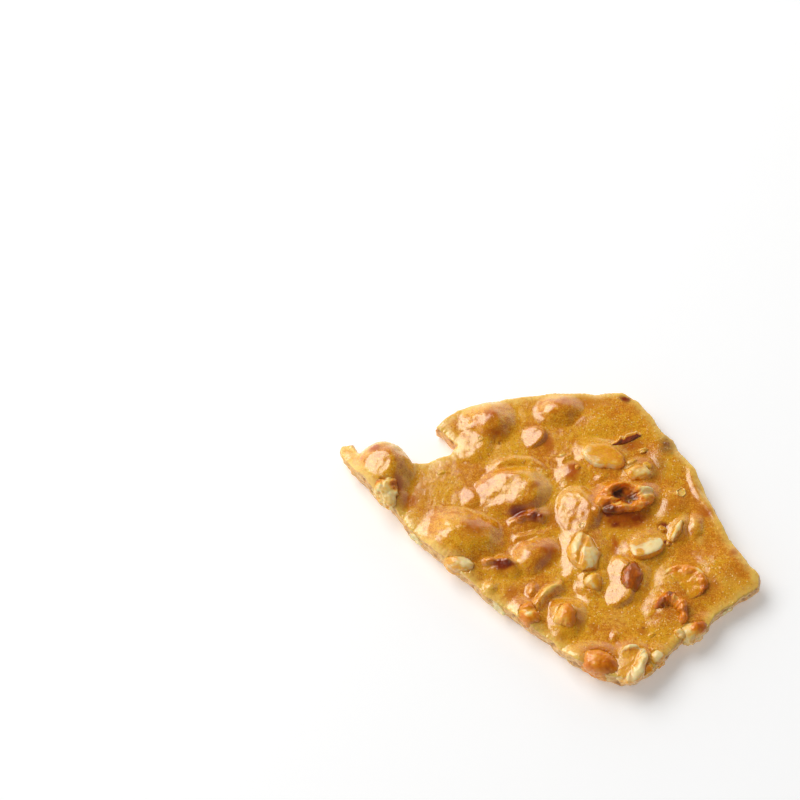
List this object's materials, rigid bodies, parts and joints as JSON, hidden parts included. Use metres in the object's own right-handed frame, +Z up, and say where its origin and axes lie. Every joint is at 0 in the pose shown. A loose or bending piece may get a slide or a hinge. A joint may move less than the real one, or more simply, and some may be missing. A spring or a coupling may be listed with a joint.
{
  "type": "peanut brittle piece",
  "caption": "Snapped piece of golden peanut brittle: a thin hard candy sheet with steep broken edges and roasted peanuts set in it.",
  "frame": {"origin": "a point of the flat underside, under the middle of the piece's outline", "axes": "+X along the piece's longest extent, +Y across it, +Z up through its thickness"},
  "size_m": [0.1058, 0.0821, 0.0114],
  "materials": {
    "candy": "glossy, slightly translucent golden hard candy",
    "pale_peanut": "cream roasted peanut flesh under a thin glaze",
    "toasted_peanut": "toasted orange-brown peanut under a thin glaze"
  },
  "bodies": {
    "root": {"candy": "candy", "peanut_golden_half": "pale_peanut", "peanut_cream_chip": "pale_peanut", "peanut_snapped_half": "pale_peanut", "peanut_small_chip": "pale_peanut", "peanut_tilted_half": "toasted_peanut", "peanut_arched_cup": "toasted_peanut", "peanut_red_skinned": "toasted_peanut", "peanut_round_small": "toasted_peanut", "peanut_toasted_tip": "toasted_peanut", "peanut_rimmed_cup": "pale_peanut", "peanut_corner_chip": "pale_peanut", "peanut_edge_nut": "pale_peanut", "peanut_ringed_cup": "toasted_peanut", "peanut_left_edge_half": "pale_peanut", "peanut_toasted_cup": "toasted_peanut", "peanut_pale_half": "pale_peanut", "peanut_lump_tip": "pale_peanut", "peanut_sliver": "pale_peanut", "peanut_notch_snap": "pale_peanut", "peanut_back_snap_left": "pale_peanut", "peanut_back_snap_right": "pale_peanut", "peanut_right_snap_high": "pale_peanut", "peanut_right_snap_low": "pale_peanut", "peanut_front_snap_right": "pale_peanut", "peanut_front_snap_middle": "pale_peanut", "peanut_front_snap_left": "pale_peanut"}
  },
  "joints": []
}
